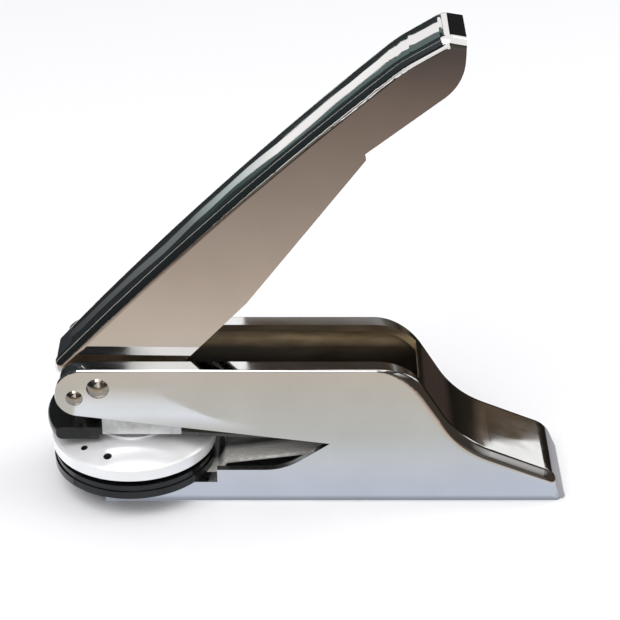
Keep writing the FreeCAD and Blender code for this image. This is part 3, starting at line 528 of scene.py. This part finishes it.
def cards_at_the_sides():
    """Dark on the left with one pale post, and dark on the right, where it pales upwards."""
    standing("dark_left", (LEFT, FRONT), (LEFT, 0.32), (0.02, 0.55), [
        (0.02, BLACK),
        (0.24, (0.02, 0.026, 0.028)),
        (0.55, (0.05, 0.062, 0.066)),
    ])
    standing("pale_post", (LEFT_1, 0.028), (LEFT_1, 0.06), (0.02, 0.55), [
        (0.02, grey(0.35)),
        (0.55, grey(0.6)),
    ])
    standing("dark_right", (RIGHT, FRONT), (RIGHT, BACK), (0, CEILING), [
        (0.0, (0.05, 0.04, 0.03)),
        (0.22, (0.04, 0.034, 0.03)),
        (0.30, (0.25, 0.24, 0.23)),
        (CEILING, (0.65, 0.65, 0.65)),
    ])
    level("dark_above_right", (0.22, RIGHT), (FRONT, BACK), CEILING, "X", [
        (0.22, (0.10, 0.085, 0.07)),
        (RIGHT, (0.03, 0.025, 0.02)),
    ])


def cards_behind():
    """What the lever's top mirrors from pivot to tip, and what the curve and the tail mirror."""
    card("blue_back_left", [
        (LEFT, BACK, 0.0), (BACK_SPLIT, BACK, 0.0), (BACK_SPLIT, BACK, 0.114),
        (-0.03, BACK, 0.114), (-0.098, BACK, 0.06),
    ], "Z", [
        (0.0, (0.03, 0.034, 0.038)),
        (0.05, (0.045, 0.052, 0.06)),
        (0.098, (0.12, 0.14, 0.16)),
        (0.114, WHITE),
    ])
    card("lever_shade", [
        *seen_line(1.6, BACK_2), (0.05, BACK_2, 0.30), (LEFT, BACK_2, 0.30), (LEFT, BACK_2, 0.0),
    ], "Z", [
        (0.0, (0.02, 0.022, 0.024)),
        (0.10, (0.03, 0.036, 0.038)),
        (0.30, (0.03, 0.038, 0.04)),
    ])
    card("lever_teal", [
        *seen_line(-0.42, BACK_3)[TEAL_FROM:], *reversed(seen_line(-1.0, BACK_3)[TEAL_FROM:]),
    ], "Z", [
        (0.08, (0.03, 0.045, 0.045)),
        (0.12, (0.10, 0.14, 0.14)),
        (0.20, (0.13, 0.175, 0.175)),
    ])
    card("lever_streak", [
        *seen_line(0.5, BACK_4), *reversed(seen_line(-0.42, BACK_4)),
    ], "Z", [
        (0.02, (0.05, 0.055, 0.06)),
        (0.05, (0.12, 0.13, 0.14)),
        (0.075, (0.18, 0.20, 0.20)),
        (0.095, (0.50, 0.58, 0.58)),
        (0.112, WHITE),
        (0.20, WHITE),
    ])
    standing("brown_back", (BACK_SPLIT, BACK), (RIGHT, BACK), (0.0, 0.165), [
        (0.0, (0.01, 0.008, 0.006)),
        (0.05, (0.02, 0.016, 0.012)),
        (0.070, (0.10, 0.072, 0.048)),
        (0.09, (0.03, 0.022, 0.016)),
        (0.119, (0.10, 0.09, 0.08)),
        (0.126, (0.30, 0.30, 0.30)),
        (0.130, (0.10, 0.08, 0.06)),
        (0.136, (0.05, 0.036, 0.026)),
        (0.165, (0.03, 0.024, 0.02)),
    ], 0.006)
    card("tip_shade", [
        (0.1, BACK, 0.165), (RIGHT, BACK, 0.165), (RIGHT, BACK, CEILING), (0.22, BACK, CEILING),
        (0.22, BACK, 0.24), (0.1, BACK, 0.24),
    ], "X", [(0.1, BLACK), (RIGHT, (0.04, 0.034, 0.03))])
    card("tail_window", [
        (0.193, BACK_1, 0.0785), (0.206, BACK_1, 0.067), (0.2165, BACK_1, 0.058),
        (0.26, BACK_1, 0.058), (0.26, BACK_1, 0.13), (0.193, BACK_1, 0.13),
    ], "Z", [(0.058, WHITE), (0.13, WHITE)])
    level("grey_behind", (TAIL_END, RIGHT), (-0.02, 0.06), GROUND, "Y", [
        (-0.02, (0.42, 0.42, 0.44)),
        (0.06, (0.30, 0.30, 0.32)),
    ])
    level("brown_behind", (0.1, RIGHT), (0.06, BACK), GROUND, "X", [
        (0.1, (0.022, 0.016, 0.014)),
        (0.15, (0.045, 0.031, 0.026)),
        (0.19, (0.02, 0.015, 0.013)),
        (RIGHT, (0.02, 0.015, 0.013)),
    ], 0.02)
    level("dark_far_ground", (-0.9, 0.3), (0.22, 2.9), GROUND, "Y", [
        (0.22, (0.03, 0.03, 0.032)),
        (2.9, (0.02, 0.02, 0.02)),
    ])


def floor():
    mesh = bpy.data.meshes.new("floor")
    reach = 3.0
    corners = [(-reach, -reach, 0), (reach, -reach, 0), (reach, reach, 0), (-reach, reach, 0)]
    mesh.from_pydata(corners, [], [(0, 1, 2, 3)])
    piece = bpy.data.objects.new("floor", mesh)
    bpy.context.collection.objects.link(piece)
    material, tree, shader = new_material("floor")
    set_look(tree, shader, (0.86, 0.86, 0.87, 1), 0.7)
    feed(tree, shader.inputs["Specular IOR Level"], 0.2)
    mesh.materials.append(material)


def world():
    """White to the eye and in the metal, while a softer grey lights the piece."""
    scene_world = bpy.data.worlds.new("studio")
    bpy.context.scene.world = scene_world
    scene_world.use_nodes = True
    tree = scene_world.node_tree
    rays = tree.nodes.new("ShaderNodeLightPath").outputs
    seen = either(tree, rays["Is Camera Ray"], rays["Is Glossy Ray"])
    shade = mixed(tree, seen, (0.72, 0.72, 0.73, 1), (*WHITE, 1))
    feed(tree, tree.nodes["Background"].inputs["Color"], shade)


def aimed(name, data, at, target):
    piece = bpy.data.objects.new(name, data)
    bpy.context.collection.objects.link(piece)
    piece.location = at
    piece.rotation_euler = (Vector(target) - Vector(at)).to_track_quat("-Z", "Y").to_euler()
    return piece


def lamp(name, at, power):
    lit_point, size = (0.05, 0, 0.03), 0.8
    data = bpy.data.lights.new(name, "AREA")
    data.size = size
    data.energy = power
    aimed(name, data, at, lit_point)


def camera():
    target = Vector((0.0525, 0.0, 0.0568))
    distance = 0.570
    rise = math.radians(30)
    half_picture, focal_length = 310, 1972  # in the photo's pixels
    data = bpy.data.cameras.new("camera")
    data.sensor_width = 36  # mm
    data.angle = 2 * math.atan(half_picture / focal_length)
    at = target + Vector((0, -math.cos(rise), math.sin(rise))) * distance
    bpy.context.scene.camera = aimed("camera", data, at, target)


floor()
world()
cards_in_front()
cards_at_the_sides()
cards_behind()
lamp("key", (-0.35, -0.45, 1.0), 7)
lamp("fill", (0.8, 0.2, 0.9), 4)
camera()
bpy.context.scene.view_settings.view_transform = "Standard"
